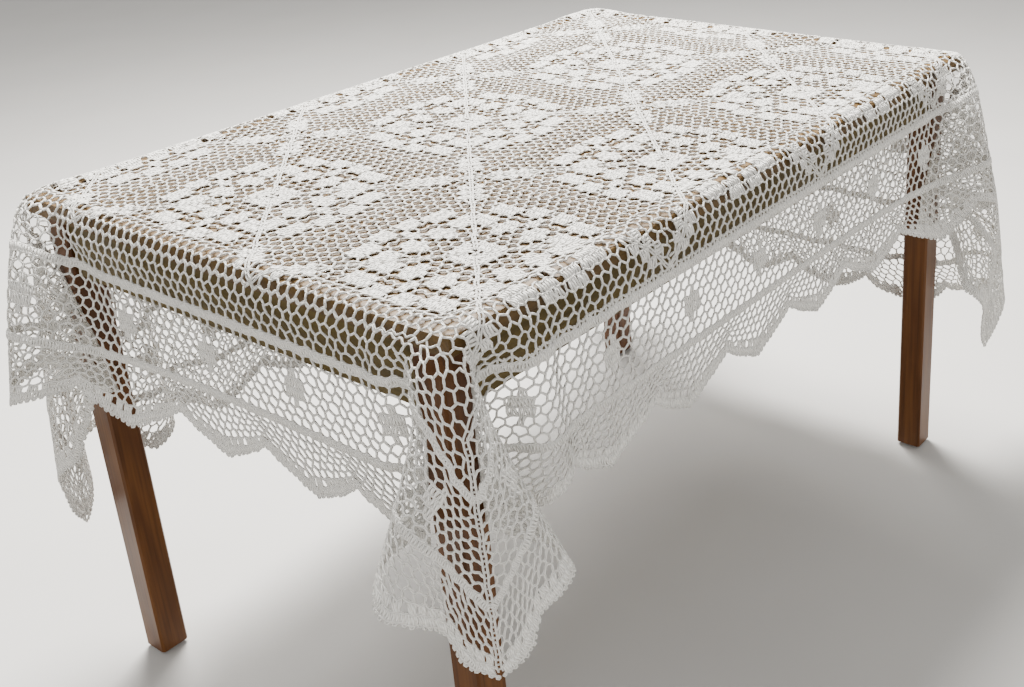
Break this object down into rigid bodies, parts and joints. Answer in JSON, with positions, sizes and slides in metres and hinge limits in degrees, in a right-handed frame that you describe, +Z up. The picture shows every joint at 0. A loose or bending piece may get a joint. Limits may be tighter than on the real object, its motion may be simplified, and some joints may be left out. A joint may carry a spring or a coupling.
{
  "type": "crocheted lace tablecloth on a dining table",
  "caption": "Crocheted cotton tablecloth of joined square motifs with a banded, pointed border, draped off centre over a plain four-legged wooden dining table.",
  "frame": {"origin": "on the floor under the middle of the table, which is also the middle of the whole part's footprint", "axes": "+X along the table's long side to the right, +Y from the front long side to the back, +Z up"},
  "size_m": [1.4956, 1.0856, 0.7428],
  "materials": {
    "crochet_cotton": "mercerised crochet cotton, open mesh",
    "top_wood": "satin varnish",
    "apron_wood": "dark satin varnish",
    "leg_wood": "dark satin varnish",
    "glide": "moulded"
  },
  "bodies": {
    "table": {"top_board_1": "top_wood", "top_board_2": "top_wood", "top_board_3": "top_wood", "top_board_4": "top_wood", "top_board_5": "top_wood", "leg_front_left": "leg_wood", "leg_front_right": "leg_wood", "leg_back_right": "leg_wood", "leg_back_left": "leg_wood", "glide_front_left": "glide", "glide_front_right": "glide", "glide_back_right": "glide", "glide_back_left": "glide", "apron_front": "apron_wood", "apron_back": "apron_wood", "apron_left": "apron_wood", "apron_right": "apron_wood", "corner_brace_front_left": "apron_wood", "corner_brace_front_right": "apron_wood", "corner_brace_back_right": "apron_wood", "corner_brace_back_left": "apron_wood"},
    "tablecloth": {"motif_row1_col1": "crochet_cotton", "motif_row1_col2": "crochet_cotton", "motif_row1_col3": "crochet_cotton", "motif_row1_col4": "crochet_cotton", "motif_row2_col1": "crochet_cotton", "motif_row2_col2": "crochet_cotton", "motif_row2_col3": "crochet_cotton", "motif_row2_col4": "crochet_cotton", "motif_row3_col1": "crochet_cotton", "motif_row3_col2": "crochet_cotton", "motif_row3_col3": "crochet_cotton", "motif_row3_col4": "crochet_cotton", "border_inner_front": "crochet_cotton", "border_mesh_front": "crochet_cotton", "edging_front": "crochet_cotton", "border_inner_back": "crochet_cotton", "border_mesh_back": "crochet_cotton", "edging_back": "crochet_cotton", "border_inner_left": "crochet_cotton", "border_mesh_left": "crochet_cotton", "edging_left": "crochet_cotton", "border_inner_right": "crochet_cotton", "border_mesh_right": "crochet_cotton", "edging_right": "crochet_cotton", "corner_fall_front_left": "crochet_cotton", "corner_fall_front_right": "crochet_cotton", "corner_fall_back_right": "crochet_cotton", "corner_fall_back_left": "crochet_cotton"}
  },
  "joints": [
    {"name": "cloth_lift", "type": "slide", "parent": "table", "child": "tablecloth", "axis": [0, 0, 1], "range_m": [0, 0.65]}
  ]
}
